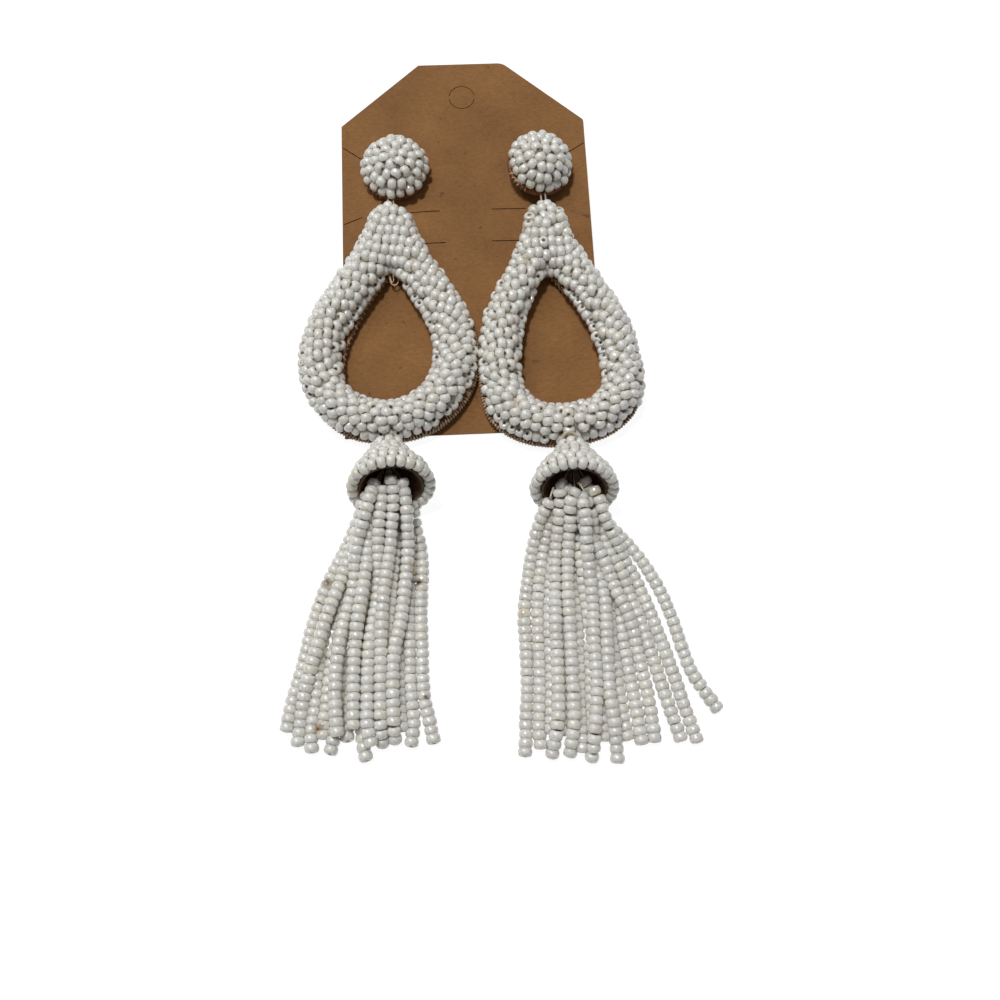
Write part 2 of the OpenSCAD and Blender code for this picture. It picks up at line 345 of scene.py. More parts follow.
def bead_material():
    """Opaque off-white glass with faint streaks; a colour per vertex carries each bead's own colour, its
    stains, and painted shade in its hole and at its ends.
    """
    material, tree, shader = new_material("seed_bead_glass")
    bead_colour_and_shade = add(tree, "ShaderNodeAttribute", attribute_name="bead_colour_and_shade")
    streaks = ramp(tree, noise(tree, 900, 3), [(0.35, (0.93, 0.93, 0.92)), (0.65, (1.0, 1.0, 1.0))])
    fill_in(shader, {
        "Base Color": mixed(tree, "MULTIPLY", 1.0, bead_colour_and_shade.outputs["Color"], streaks),
        "Roughness": map_range(tree, noise(tree, 500, 2), 0.2, 0.36),
        "Coat Weight": 0.9,
        "Coat Roughness": 0.06,
        "Coat IOR": 1.75,
        "Subsurface Weight": 0.85,
        "Subsurface Radius": (1.0, 0.95, 0.85),
        "Subsurface Scale": 0.002,
    })
    bump(tree, shader, noise(tree, 1500, 2), 0.12, 0.0001)
    return material


def leather_material():
    """Thin brown leather with a pebbled grain, darker in its pits."""
    material, tree, shader = new_material("brown_leather_grain")
    grain = noise(tree, 1400, 4, 0.6)
    tone = ramp(tree, noise(tree, 260, 3), [(0.3, (0.15, 0.055, 0.02)), (0.7, (0.34, 0.14, 0.055))])
    pits = ramp(tree, grain, [(0.35, (0.55, 0.5, 0.48)), (0.6, (1.0, 1.0, 1.0))])
    colour = mixed(tree, "MULTIPLY", 1.0, tone, pits)
    fill_in(shader, {"Base Color": colour, "Roughness": map_range(tree, grain, 0.75, 0.5)})
    bump(tree, shader, grain, 0.5, 0.00012)
    return material


# Grain of the plainer stuffs: features per metre, detail, grit, where the dark tone ends and the light
# one starts, then the strength and the depth of the relief
FIBRES = (1800, 4, 0.7, (0.3, 0.7), 0.6, 0.0002)
TWIST = (2600, 2, 0.5, (0.35, 0.65), 0.5, 0.00008)
MOTTLE = (900, 4, 0.6, (0.35, 0.65), 0.4, 0.0001)


def grained_material(name, grain, dark, light, roughness):
    """A stuff whose colour and relief follow one noise."""
    scale, detail, grit, (low, high), strength, depth = grain
    material, tree, shader = new_material(name)
    spots = noise(tree, scale, detail, grit)
    tone = ramp(tree, spots, [(low, dark), (high, light)])
    fill_in(shader, {"Base Color": tone, "Roughness": roughness})
    bump(tree, shader, spots, strength, depth)
    return material


def metal_material():
    """Satin steel with fine marks."""
    material, tree, shader = new_material("satin_steel")
    marks = noise(tree, 900, 3, 0.6, (1, 1, 6))
    tone = ramp(tree, marks, [(0.3, (0.48, 0.46, 0.43)), (0.7, (0.66, 0.64, 0.6))])
    gloss = map_range(tree, marks, 0.28, 0.45)
    fill_in(shader, {"Base Color": tone, "Metallic": 1.0, "Roughness": gloss})
    return material


def kraft_material():
    """Brown kraft board: clouded tone, short fibres and dark specks."""
    material, tree, shader = new_material("kraft_board")
    cloud = noise(tree, 70, 4, 0.55)
    clouds = ramp(tree, cloud, [(0.3, (0.205, 0.092, 0.025)), (0.7, (0.29, 0.136, 0.041))])
    fibres = noise(tree, 2200, 6, 0.75, (0.5, 1, 1))
    fine = ramp(tree, fibres, [(0.3, (0.76, 0.74, 0.71)), (0.7, (1.2, 1.2, 1.2))])
    colour = mixed(tree, "MULTIPLY", 1.0, clouds, fine)
    speck = noise(tree, 760, 1, 0.4)
    specks = ramp(tree, speck, [(0.0, (0, 0, 0)), (0.74, (0, 0, 0)), (0.77, (1, 1, 1))])
    colour = mixed(tree, "MIX", map_range(tree, specks, 0.0, 0.5), colour, (0.06, 0.028, 0.014))
    fill_in(shader, {"Base Color": colour, "Roughness": 0.85})
    bump(tree, shader, fibres, 0.35, 0.00006)
    return material


BEAD_GLASS = bead_material()
LEATHER = leather_material()
FELT = grained_material("padding_felt", FIBRES, (0.44, 0.38, 0.31), (0.70, 0.63, 0.53), 0.95)
GOLD_THREAD = grained_material("gold_thread", TWIST, (0.42, 0.25, 0.12), (0.90, 0.70, 0.48), 0.4)
NYLON = grained_material("nylon_thread", TWIST, (0.45, 0.38, 0.27), (0.68, 0.6, 0.46), 0.35)
# The cup and its lip are darker copies of the leather and of its cut edge: painted shade inside the bell
SHADED_CUP_LEATHER = grained_material("cup_leather_shaded", MOTTLE, (0.05, 0.022, 0.009), (0.17, 0.07, 0.026), 0.75)
SHADED_CUP_EDGE = grained_material("cup_edge_shaded", MOTTLE, (0.04, 0.028, 0.014), (0.20, 0.15, 0.085), 0.8)
CUT_EDGE = grained_material("cut_edge", MOTTLE, (0.14, 0.085, 0.045), (0.40, 0.27, 0.16), 0.8)
# The paper at the bottom of the card's cuts: real paper, coloured darker than the kraft as painted shade in
# the cuts
CUT_PAPER_IN_SHADE = grained_material("cut_paper_in_shade", MOTTLE, (0.10, 0.042, 0.012), (0.17, 0.078, 0.024), 0.9)
STEEL = metal_material()
KRAFT = kraft_material()


# Seed beads

def bead_unit(column):
    """Points and faces of one bead along Z, of radius and half length one."""
    rings = len(BEAD_PROFILE)
    height = BEAD_PROFILE[:, 0] / BEAD_HALF
    radius = BEAD_PROFILE[:, column] / BEAD_R
    turns = np.arange(BEAD_TURNS) * 2 * math.pi / BEAD_TURNS
    points = np.stack([
        np.outer(np.cos(turns), radius),
        np.outer(np.sin(turns), radius),
        np.broadcast_to(height, (BEAD_TURNS, rings)),
    ], axis=-1)
    return points.reshape(-1, 3), np.array(grid_faces(BEAD_TURNS, rings, True, True))


ROUND_POINTS, BEAD_FACES = bead_unit(1)
FULL_POINTS = bead_unit(2)[0]
# How much beads differ in radius, in length and in lightness
RADIUS_SPREAD = 0.022
LENGTH_SPREAD = 0.04
TINT_SPREAD = 0.035


def bead_cloud(centres, axes, rng, scale, fullness):
    """Points and faces of many beads, with small differences in size, and the bead of each point."""
    n = len(centres)
    across, up = side_frames(axes, (0.3, 0.5, 0.81))
    basis = np.stack([across, up, unit(axes)], axis=1)
    size = np.empty((n, 1, 3))
    size[:, 0, :2] = scale[0] * BEAD_R * rng.normal(1.0, RADIUS_SPREAD, (n, 1))
    size[:, 0, 2] = scale[1] * BEAD_HALF * rng.normal(1.0, LENGTH_SPREAD, n)
    full = np.broadcast_to(fullness, n)[:, None, None]
    shape = ROUND_POINTS * (1 - full) + FULL_POINTS * full
    points = np.einsum("nkc,ncd->nkd", shape * size, basis) + centres[:, None]
    faces = BEAD_FACES[None] + (np.arange(n) * len(ROUND_POINTS))[:, None, None]
    return points.reshape(-1, 3), faces.reshape(-1, 4), np.repeat(np.arange(n), len(ROUND_POINTS))


# Tints that a bead may have, on top of its own lightness
BEAD_WHITE = np.array([0.88, 0.843, 0.756])
TINTS = np.array([
    [1.015, 0.99, 0.985],
    [0.99, 1.005, 0.985],
    [0.985, 1.0, 1.015],
    [1.0, 1.0, 0.975],
    [1.0, 1.0, 1.0],
])
# Painted shade in the holes and at the ends, browner as well as darker
HOLE_SHADE_TONE = np.array([1.0, 1.12, 1.3])
# columns: place on the floor plan, reach, strength and colour of a stain
STAINS = [
    [-27.7, -29.1, 0.8, 1.0, (0.10, 0.04, 0.006)],
    [-11.6, -29.8, 0.85, 1.0, (0.09, 0.035, 0.005)],
    [-12.5, -27.4, 0.6, 0.6, (0.32, 0.17, 0.09)],
    [-28.9, -54.5, 0.9, 0.8, (0.38, 0.19, 0.04)],
    [-28.2, -53.9, 0.5, 0.9, (0.10, 0.05, 0.015)],
    [-10.7, -50.1, 0.5, 0.9, (0.03, 0.02, 0.015)],
    [6.5, -36.2, 0.6, 0.75, (0.5, 0.3, 0.08)],
    [20.9, -16.9, 1.1, 0.45, (0.55, 0.45, 0.22)],
    [19.5, -15.3, 1.0, 0.35, (0.60, 0.42, 0.38)],
    [-22.9, -12.6, 2.2, 0.35, (0.42, 0.36, 0.2)],
]


def bead_piece(name, centres, axes, rng, replaced, scale, fullness=0.0):
    """One piece of many beads, each with its own size and colour, painted shade in its hole and at its
    ends, and stained where a stain reaches it.
    """
    points, faces, owner = bead_cloud(centres, axes, rng, scale, fullness)
    made = piece(name, points, faces, BEAD_GLASS, "white_beads", replaced)
    n = len(centres)
    shade = BEAD_WHITE * TINTS[rng.integers(0, len(TINTS), n)] * rng.normal(1.0, TINT_SPREAD, (n, 1))
    # The profile's lightness paints shade into each bead's hole and at its ends
    colours = shade[owner] * np.tile(BEAD_PROFILE[:, 3], BEAD_TURNS * n)[:, None] ** HOLE_SHADE_TONE
    for x, y, reach, strength, stain in STAINS:
        away = np.hypot(points[:, 0] - x, points[:, 1] - y) / reach
        part = (strength * np.clip(1.3 - away, 0, 1))[:, None]
        colours = colours * (1 - part) + np.array(stain) * part
    paint(made, "bead_colour_and_shade", np.clip(colours, 0, 1))


# Paving: beads side by side on the CAD surface, their outer sides flush with it

# How deep a centre lies below the skin, and how close to the skin it may count as on it
DEPTH = 1.04
TOUCHING = 0.02
# The share of their sizes that two beads keep apart, and the share and the limit of a push
SQUEEZE = 0.88
PUSH_SHARE = 0.35
LONGEST_PUSH = 0.35


class Surface:
    """A CAD node's outer skin in its local millimetres, for seating bead centres a depth below it."""

    def __init__(self, node, place, keep, clamp, size):
        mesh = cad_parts[node].data
        points = np.array([v.co for v in mesh.vertices], float)
        local = place.into((points - ORIGIN) / MM)
        faces = []
        for polygon in mesh.polygons:
            corners = local[list(polygon.vertices)]
            normal = unit(np.cross(corners[1] - corners[0], corners[2] - corners[0]))
            if keep(normal, corners.mean(0)):
                faces.append(tuple(polygon.vertices))
        self.points = local
        self.tree = BVHTree.FromPolygons(local.tolist(), faces)
        self.clamp = clamp
        self.room = (BEAD_R * size[0], BEAD_HALF * size[1])

    def seat(self, points, clamped=True):
        """Centres a bead's depth below the skin, and the outward normals there."""
        spots = np.empty_like(points)
        normals = np.empty_like(points)
        for i, point in enumerate(points):
            near, facing, _, _ = self.tree.find_nearest(Vector(point))
            outward = near - Vector(point)
            if outward.dot(facing) < 0:
                outward = -outward
            if outward.length < TOUCHING:
                outward = facing
            outward = outward.normalized()
            spots[i] = near - outward * DEPTH
            normals[i] = outward
        return (self.clamp(spots) if clamped else spots), normals


def along_surface(directions, normals):
    """Unit directions laid into the surface."""
    flat = directions - (directions * normals).sum(-1, keepdims=True) * normals
    return unit(flat)


def reach_of(share, room):
    """A bead's size towards a neighbour, from the share of that direction along its axis."""
    return 1 / np.sqrt(share ** 2 / room[1] ** 2 + (1 - share ** 2) / room[0] ** 2)


def closeness(centres, axes, others, other_axes, room):
    """Distance of each centre from each other one, against what the two beads need."""
    gap = centres[:, None] - others[None]
    distance = np.linalg.norm(gap, axis=-1)
    direction = gap / np.maximum(distance, 1e-6)[..., None]
    own = np.clip(np.abs((direction * axes[:, None]).sum(-1)), 0, 1)
    other = np.clip(np.abs((direction * other_axes[None]).sum(-1)), 0, 1)
    need = (reach_of(own, room) + reach_of(other, room)) * SQUEEZE
    return distance, need, direction


def relax(surface, field, centres, rounds):
    """Pushes beads apart along the surface until none overlap."""
    centres, normals = surface.seat(centres)
    axes = along_surface(field(centres, normals), normals)
    for _ in range(rounds):
        distance, need, direction = closeness(centres, axes, centres, axes, surface.room)
        np.fill_diagonal(distance, 1e6)
        push = np.clip(need - distance, 0, None)
        move = (direction * push[..., None]).sum(1) * PUSH_SHARE
        length = np.linalg.norm(move, axis=1, keepdims=True)
        move *= np.minimum(1, LONGEST_PUSH / np.maximum(length, 1e-9))
        centres, normals = surface.seat(centres + move)
        axes = along_surface(field(centres, normals), normals)
    return centres, axes, normals


def fill(surface, field, centres, axes, candidates, limit):
    """Adds a bead wherever a candidate place is free."""
    places, normals = surface.seat(candidates)
    place_axes = along_surface(field(places, normals), normals)
    centres, axes = list(centres), list(axes)
    for place, axis in zip(places, place_axes):
        distance, need, _ = closeness(
            place[None], axis[None], np.array(centres), np.array(axes), surface.room)
        if (distance / need).min() > limit:
            centres.append(place)
            axes.append(axis)
    return np.array(centres), np.array(axes)


def within(lowest, highest):
    """Keeps bead centres between two local heights."""

    def clamp(points):
        points = points.copy()
        points[:, 2] = np.clip(points[:, 2], lowest, highest)
        return points

    return clamp


def wobble(axes, normals, rng, angle):
    """Axes turned a little at random, within the surface and out of it."""
    n = len(axes)
    sideways = np.cross(normals, axes)
    turn = np.radians(rng.normal(0, angle, (n, 1)))
    tip = np.radians(rng.normal(0, angle * 0.6, (n, 1)))
    return unit(axes + sideways * turn + normals * tip)


def lay_beads(name, node, place, centres, axes, normals, unevenness, size, rng):
    """The beads of a paving, some a little prouder than others."""
    centres = centres + normals * rng.normal(0, unevenness, (len(centres), 1))
    bead_piece(name, place.out(centres), axes @ place.turn.T, rng, (node,), size)


# Hoops: rows of beads across the band

# columns: place round the window, direction of the rows there, both in degrees
LEFT_ROWS = [
    [-90, -90], [-60, -85], [-50, -75], [-30, -60], [0, -43], [20, -30], [45, -15], [70, -12], [90, -7],
    [110, -22], [135, -5], [180, 0], [200, 10], [207, 40], [217, 85], [240, 90], [270, 90],
]
RIGHT_ROWS = [
    [-90, -90], [-60, -85], [-30, -62], [0, -45], [30, -30], [60, -12], [90, 0],
    [120, 0], [150, 0], [180, 0], [200, 15], [215, 60], [230, 85], [270, 90],
]
WINDOW_MIDDLE = {"left": (0.2, 2.0), "right": (-0.3, 3.0)}
ROW_GAP = 2.08
ROW_STEP = 1.60
LONGEST_ROW = 12
WAVER = 6
# A bead at the band's edge, where its normal's height is below this, leans out by up to the push
EDGE_FACING = 0.32
EDGE_PUSH = 0.5
STANDING_SHARE = 0.4
# The lowest centres above the padding's base, and how much lower they may be while rows are laid
HOOP_SEAT = 0.95
ROWS_BELOW = 0.35
# How free a place has to be for one more bead, in each round of filling
FILL_LIMITS = (0.78, 0.78, 0.82)
FILL_TRIES = 4500
# Rounds of pushing before a filling and at the end, random turn of a bead in degrees, unevenness
HOOP_ROUNDS = 30
HOOP_LAST_ROUNDS = 50
HOOP_TURN = 7
HOOP_UNEVEN = 0.10
# The shares of a row's gap that a row's first bead and its other ones keep from the rows laid before
FIRST_APART = 0.86
OTHERS_APART = 0.8


def row_field(rows, middle):
    """The direction of the rows anywhere on a band."""
    table = np.array(rows, float)

    def field(points, normals):
        place = np.degrees(np.arctan2(points[:, 1] - middle[1], points[:, 0] - middle[0]))
        place = (place + 90) % 360 - 90
        x, y = points[:, 0], points[:, 1]
        waver = WAVER * np.sin(0.8 * x + 1.1 * y) * np.sin(0.9 * y - 0.5 * x)
        angle = np.radians(np.interp(place, table[:, 0], table[:, 1]) + waver)
        return np.stack([np.cos(angle), np.sin(angle), np.zeros(len(angle))], axis=1)

    return field


def rows_across(surface, field, start, lowest):
    """Rows of beads that follow a field of directions, each beside the last."""
    placed = np.zeros((0, 3))
    queue = deque([np.array(start, float)])
    while queue:
        centres, normals = surface.seat(queue.popleft()[None], False)
        axes = along_surface(field(centres, normals), normals)
        if centres[0][2] < lowest or too_near(centres[0], placed, FIRST_APART * ROW_GAP):
            continue
        row = [centres[0]]
        for way in (1, -1):
            here = centres[0]
            heading = axes[0] * way
            for _ in range(LONGEST_ROW):
                nxt, normal = surface.seat((here + heading * ROW_STEP)[None], False)
                stuck = np.linalg.norm(nxt[0] - here) < 0.6 * ROW_STEP
                if stuck or nxt[0][2] < lowest or too_near(nxt[0], placed, OTHERS_APART * ROW_GAP):
                    break
                onward = along_surface(field(nxt, normal), normal)[0]
                heading = onward if onward @ heading > 0 else -onward
                here = nxt[0]
                row.append(here)
        placed = np.vstack([placed, row])
        spots, normals = surface.seat(np.array(row))
        axes = along_surface(field(spots, normals), normals)
        beside = np.cross(normals, axes) * ROW_GAP
        queue.extend(spots + beside)
        queue.extend(spots - beside)
    return placed


def too_near(centre, placed, limit):
    return len(placed) > 0 and np.linalg.norm(placed - centre, axis=1).min() < limit


def upward(normal, middle):
    return normal[2] > -0.5


def stand_up(centres, axes, normals, rng):
    """The beads at a band's edges lean out, and some of them stand up and show their holes."""
    edge = np.clip((EDGE_FACING - normals[:, 2]) / 0.3, 0, 1)[:, None]
    share = edge * (rng.random((len(edge), 1)) < STANDING_SHARE)
    lean = unit(normals * (1, 1, 0))
    upright = unit(np.array([0, 0, 1.0]) + 0.25 * lean)
    way = np.sign((axes * upright).sum(1, keepdims=True))
    axes = unit(axes * way * (1 - share) + upright * share)
    return centres + lean * edge * EDGE_PUSH, axes


def hoop_beads(side, rows, rng):
    place = HOOPS[side]
    node = f"{side}_hoop"
    lowest = HOOP_BASE + HOOP_SEAT
    surface = Surface(node, place, upward, within(lowest, np.inf), HOOP_SIZE)
    field = row_field(rows, WINDOW_MIDDLE[side])
    low, high = surface.points.min(0), surface.points.max(0)
    start = (low[0] + 4.0, 2.0, high[2])
    centres = rows_across(surface, field, start, lowest - ROWS_BELOW)
    for limit in FILL_LIMITS:
        centres, axes, normals = relax(surface, field, centres, HOOP_ROUNDS)
        spread = rng.uniform(low, high, (FILL_TRIES, 3))
        centres, axes = fill(surface, field, centres, axes, spread, limit)
    centres, axes, normals = relax(surface, field, centres, HOOP_LAST_ROUNDS)
    centres, axes = stand_up(centres, axes, normals, rng)
    axes = wobble(axes, normals, rng, HOOP_TURN)
    lay_beads(f"{side}_hoop_beads", node, place, centres, axes, normals, HOOP_UNEVEN, HOOP_SIZE, rng)


# Studs: rings of beads on a dome, at these angles above its foot

DOME_RINGS = (10, 32, 54, 74)
DOME_PITCH = 1.80
DOME_SEAT = 0.9
DOME_ROUNDS = 40
DOME_LAST_ROUNDS = 50
DOME_LIMIT = 0.8
DOME_TRIES = 900
# Random turn of the beads in degrees, on the crown within this share of the radius and outside it
CROWN = 0.6
CROWN_TURN = 28
DOME_TURN = 8
DOME_UNEVEN = 0.1


def rings_field(points, normals):
    """Round the local Z axis."""
    return np.stack([-points[:, 1], points[:, 0], np.zeros(len(points))], axis=1)


def ring_seeds(radius, level, pitch, rng):
    """Starting places of the beads in one ring round the local Z axis."""
    count = round(2 * math.pi * radius / pitch)
    phase = rng.uniform(0, 2 * math.pi)
    angles = [phase + 2 * math.pi * i / count for i in range(count)]
    return [(radius * math.cos(angle), radius * math.sin(angle), level) for angle in angles]


def dome_beads(side, rng):
    place = STUDS[side]
    node = f"{side}_stud_dome"
    surface = Surface(node, place, upward, within(DOME_BASE + DOME_SEAT, np.inf), DOME_SIZE)
    radius = surface.points[:, 0].max() - DEPTH
    height = surface.points[:, 2].max() - DOME_BASE - DEPTH
    seeds = []
    for rise in DOME_RINGS:
        level = DOME_BASE + height * math.sin(math.radians(rise))
        seeds += ring_seeds(radius * math.cos(math.radians(rise)), level, DOME_PITCH, rng)
    seeds.append((0.3, 0.2, DOME_BASE + height))
    centres, axes, normals = relax(surface, rings_field, np.array(seeds), DOME_ROUNDS)
    spread = rng.uniform(surface.points.min(0), surface.points.max(0), (DOME_TRIES, 3))
    centres, axes = fill(surface, rings_field, centres, axes, spread, DOME_LIMIT)
    centres, axes, normals = relax(surface, rings_field, centres, DOME_LAST_ROUNDS)
    crown = np.hypot(centres[:, :1], centres[:, 1:2]) < CROWN * radius
    on_crown = wobble(axes, normals, rng, CROWN_TURN)
    axes = np.where(crown, on_crown, wobble(axes, normals, rng, DOME_TURN))
    lay_beads(f"{side}_dome_beads", node, place, centres, axes, normals, DOME_UNEVEN, DOME_SIZE, rng)


# Caps: rings of beads round a bell, from the mouth to the neck

CAP_PITCH = 1.66
CAP_SEAT = 0.95
CAP_ROUNDS = 60
CAP_TURN = 8
CAP_UNEVEN = 0.06
# The step from ring to ring, in the neck and past it, and where the last ring may lie
LAST_RING = 0.6
NECK_LENGTH = 9
STEP_AT_NECK = 1.78
STEP_AT_MOUTH = 1.98
# The heading in which the bell's radius is felt for, off the corners of the CAD's skin
FEELER = Vector((0.9996, 0.0283, 0))


def outward_of_axis(normal, middle):
    return normal[0] * middle[0] + normal[1] * middle[1] > 0.05 * math.hypot(middle[0], middle[1])


def cap_beads(side, rng):
    place = BELLS[side]
    node = f"{side}_cap"
    station = BELL_LEN - CAP_SEAT
    surface = Surface(node, place, outward_of_axis, within(-np.inf, station), CAP_SIZE)
    seeds = []
    while station > LAST_RING:
        hit = surface.tree.ray_cast(Vector((0, 0, station)), FEELER)[0]
        seeds += ring_seeds(math.hypot(hit.x, hit.y) - DEPTH, station, CAP_PITCH, rng)
        station -= STEP_AT_NECK if station < NECK_LENGTH else STEP_AT_MOUTH
    centres, axes, normals = relax(surface, rings_field, np.array(seeds), CAP_ROUNDS)
    axes = wobble(axes, normals, rng, CAP_TURN)
    lay_beads(f"{side}_cap_beads", node, place, centres, axes, normals, CAP_UNEVEN, CAP_SIZE, rng)


# Rings: the two outlines of a hoop's band, found on the CAD node

def band_edges(node, place, middle, height, pitch):
    """Matching points of the outer edge and of the window's edge, all round."""
    surface = Surface(node, place, lambda normal, centre: True, None, HOOP_SIZE)
    start = Vector((*middle, height))
    rows = []
    for k in range(720):
        angle = math.radians(k / 2 + 0.2)
        heading = Vector((math.cos(angle), math.sin(angle), 0))
        first = surface.tree.ray_cast(start, heading)[0]
        last = surface.tree.ray_cast(start + heading * 60, -heading)[0]
        rows.append((last.x, last.y, first.x, first.y))
    rows = np.array(rows + rows[:1])
    steps = np.linalg.norm(np.diff(rows[:, :2], axis=0), axis=1)
    at = np.concatenate([[0.0], np.cumsum(steps)])
    wanted = np.linspace(0, at[-1], int(at[-1] / pitch) + 1)[:-1]
    rows = np.stack([np.interp(wanted, at, column) for column in rows.T], axis=1)
    return rows[:, :2], rows[:, 2:]


def swept_band(outer, inner, section, place):
    """A closed skin whose section runs from the outer edge at 0 to the window's edge at 1.
    The section's columns are the share across, the inset in millimetres and the height."""
    points = []
    for a, b in zip(outer, inner):
        across = (b - a) / np.linalg.norm(b - a)
        for share, inset, height in section:
            x, y = a + (b - a) * share + across * inset
            points.append((x, y, height))
    return place.out(np.array(points)), grid_faces(len(outer), len(section), True, True)


def mirrored(section):
    """The other half of a section, from the window's side."""
    return [(1 - share, -inset, height) for share, inset, height in section[::-1]]


# The felt cores: how far they stand in from the beads' outline, and the height of a hoop's
PAD_INSET = 1.45
PAD_HEIGHT = 3.4
# Radius of the line of cut leather at a hoop's edges and at a cup's lip
CUT_R = 0.13
LIP_R = 0.17
# columns: place round the window in degrees, how far the leather stands back from the CAD's window edge,
# how far it stands out from the CAD's outer edge
LEATHER_EDGES = {
    "left": [
        [-90, 0.45, 0.25], [-60, 0.45, 0.4], [-20, 0.45, 0.35], [15, 0.45, 0.2],
        [45, 0.45, 0.0], [105, 0.45, 0.0], [125, -0.1, 0.0], [150, -0.35, 0.0],
        [195, -0.35, 0.0], [225, 0.45, 0.1], [250, 0.45, 0.3], [270, 0.45, 0.25],
    ],
    "right": [
        [-90, 0.45, 0.3], [-60, 0.45, 0.4], [-20, 0.45, 0.25], [15, 0.45, 0.1], [45, 0.45, 0.0],
        [205, 0.45, 0.0], [225, 0.45, 0.35], [250, 0.45, 0.4], [270, 0.45, 0.3],
    ],
}


def leather_edges(side):
    """The outer and inner outlines of a hoop's leather ring."""
    node = f"{side}_hoop_backing"
    outer, inner = band_edges(node, HOOPS[side], WINDOW_MIDDLE[side], LEATHER_T / 2, 0.5)
    table = np.array(LEATHER_EDGES[side])
    away = inner - WINDOW_MIDDLE[side]
    angle = (np.degrees(np.arctan2(away[:, 1], away[:, 0])) + 90) % 360 - 90
    across = unit(outer - inner)
    trim = np.interp(angle, table[:, 0], table[:, 1])[:, None]
    spread = np.interp(angle, table[:, 0], table[:, 2])[:, None]
    return outer + across * spread, inner + across * trim


def hoop_padding(side):
    """The felt-covered core under the beads."""
    place = HOOPS[side]
    outer, inner = band_edges(f"{side}_hoop", place, WINDOW_MIDDLE[side], HOOP_BASE + 0.5, 0.9)
    top = HOOP_BASE + PAD_HEIGHT
    half = [
        (0, PAD_INSET, HOOP_BASE + 0.05),
        (0, PAD_INSET, HOOP_BASE + 1.2),
        (0, PAD_INSET + 0.5, HOOP_BASE + 2.3),
        (0.25, PAD_INSET * 0.5, top - 0.1),
    ]
    section = half + [(0.5, 0, top + 0.2)] + mirrored(half)
    piece(f"{side}_hoop_padding", *swept_band(outer, inner, section, place), FELT, "brown_leather")


def hoop_leather(side):
    """The leather ring, with rounded cut edges that the stitches pinch."""
    place = HOOPS[side]
    outer, inner = leather_edges(side)
    half = [(0, 0.12, 0.0), (0, 0.0, 0.2), (0, 0.0, 0.75), (0, 0.15, 0.95), (0, 1.0, 1.0)]
    section = half + [(0.5, 0, 1.0)] + mirrored(half) + [(0.5, 0, 0.0)]
    points, faces = swept_band(outer, inner, section, place)
    piece(f"{side}_hoop_leather", points, faces, LEATHER, "brown_leather", (f"{side}_hoop_backing",))
    cuts = []
    for ring, other in ((outer, inner), (inner, outer)):
        ring = ring + 0.1 * unit(other - ring)
        line = np.column_stack([ring, np.full(len(ring), 0.93)])
        points, faces = tube(np.vstack([line, line[:1]]), CUT_R)
        cuts.append((place.out(points), faces))
    piece(f"{side}_hoop_edges", *joined(cuts), CUT_EDGE, "brown_leather")


# columns: pitch and reach of the stitches on a hoop's outer edge, on its window's edge and on a stud
STITCHES = {"outer": (0.62, 1.5), "inner": (1.15, 0.4), "stud": (0.9, 0.4)}
STITCH_R = 0.12


def whip_stitches(ring, inward, place, kind, rng):
    """Slanted loops of thread over an edge of the leather, which lies left of the ring's way at 1 and
    right of it at -1."""
    pitch, reach = STITCHES[kind]
    ring = evenly(ring, pitch, closed=True)
    ahead = unit(np.roll(ring, -1, axis=0) - np.roll(ring, 1, axis=0))
    parts = []
    for spot, forward in zip(ring, ahead):
        across = inward * np.array([-forward[1], forward[0]])
        slant = forward * pitch * rng.uniform(-0.7, 1.3)
        deep = reach * rng.uniform(0.45, 1.15)
        stops = [
            (spot + across * deep + slant, LEATHER_T - 0.05),
            (spot + across * deep * 0.75 + slant * 0.8, LEATHER_T + 0.12),
            (spot + across * 0.25 + slant * 0.2, LEATHER_T + 0.08),
            (spot - across * 0.1, LEATHER_T * 0.72),
            (spot - across * 0.1 - slant * 0.1, LEATHER_T * 0.25),
            (spot + across * 0.3 - slant * 0.3, -0.02),
        ]
        path = [(x, y, z) for (x, y), z in stops]
        points, faces = tube(smooth_path(path, 2), STITCH_R)
        parts.append((place.out(points), faces))
    return parts


def hoop_stitches(side, rng):
    place = HOOPS[side]
    outer, inner = leather_edges(side)
    parts = whip_stitches(outer, 1, place, "outer", rng)
    parts += whip_stitches(inner, -1, place, "inner", rng)
    piece(f"{side}_hoop_stitches", *joined(parts), GOLD_THREAD, "brown_leather")


# Turned pieces: leather disc, padding and cup

STUD_BORE = 0.55
RIPPLES = 21
DOME_R = {"left": 6.95, "right": 6.65}
DOME_HEIGHT = 5.9
# The arc of a stud's edge that has stitches, at its lower left, in radians
STITCHED_FROM = -2.9
STITCHED_TO = -2.0


def revolved(profile, place, turns, ripple=0.0):
    """A closed skin round the local Z axis, from a profile of radius and height that is closed in itself
    or starts and ends on the axis. A ripple makes its outline uneven."""
    poles = profile[0][0] == 0
    ring = profile[1:-1] if poles else profile
    rows = []
    for k in range(turns):
        angle = 2 * math.pi * k / turns
        for radius, height in ring:
            spread = radius * (1 + ripple * math.sin(RIPPLES * angle))
            rows.append((spread * math.cos(angle), spread * math.sin(angle), height))
    n, m = len(rows), len(ring)
    faces = grid_faces(turns, m, True, not poles)
    if poles:
        rows += [(0, 0, profile[0][1]), (0, 0, profile[-1][1])]
        for k in range(turns):
            after = (k + 1) % turns
            faces.append((n, after * m, k * m))
            faces.append((n + 1, k * m + m - 1, after * m + m - 1))
    return place.out(np.array(rows)), faces


def stud_leather(side):
    profile = [
        (STUD_BORE, 0.0), (DISC_R - 0.2, 0.0), (DISC_R, 0.2), (DISC_R, LEATHER_T - 0.25),
        (DISC_R - 0.18, LEATHER_T - 0.03), (DISC_R - 1, LEATHER_T), (STUD_BORE, LEATHER_T),
    ]
    points, faces = revolved(profile, STUDS[side], 64, 0.006)
    piece(f"{side}_stud_leather", points, faces, LEATHER, "brown_leather", (f"{side}_stud_backing",))


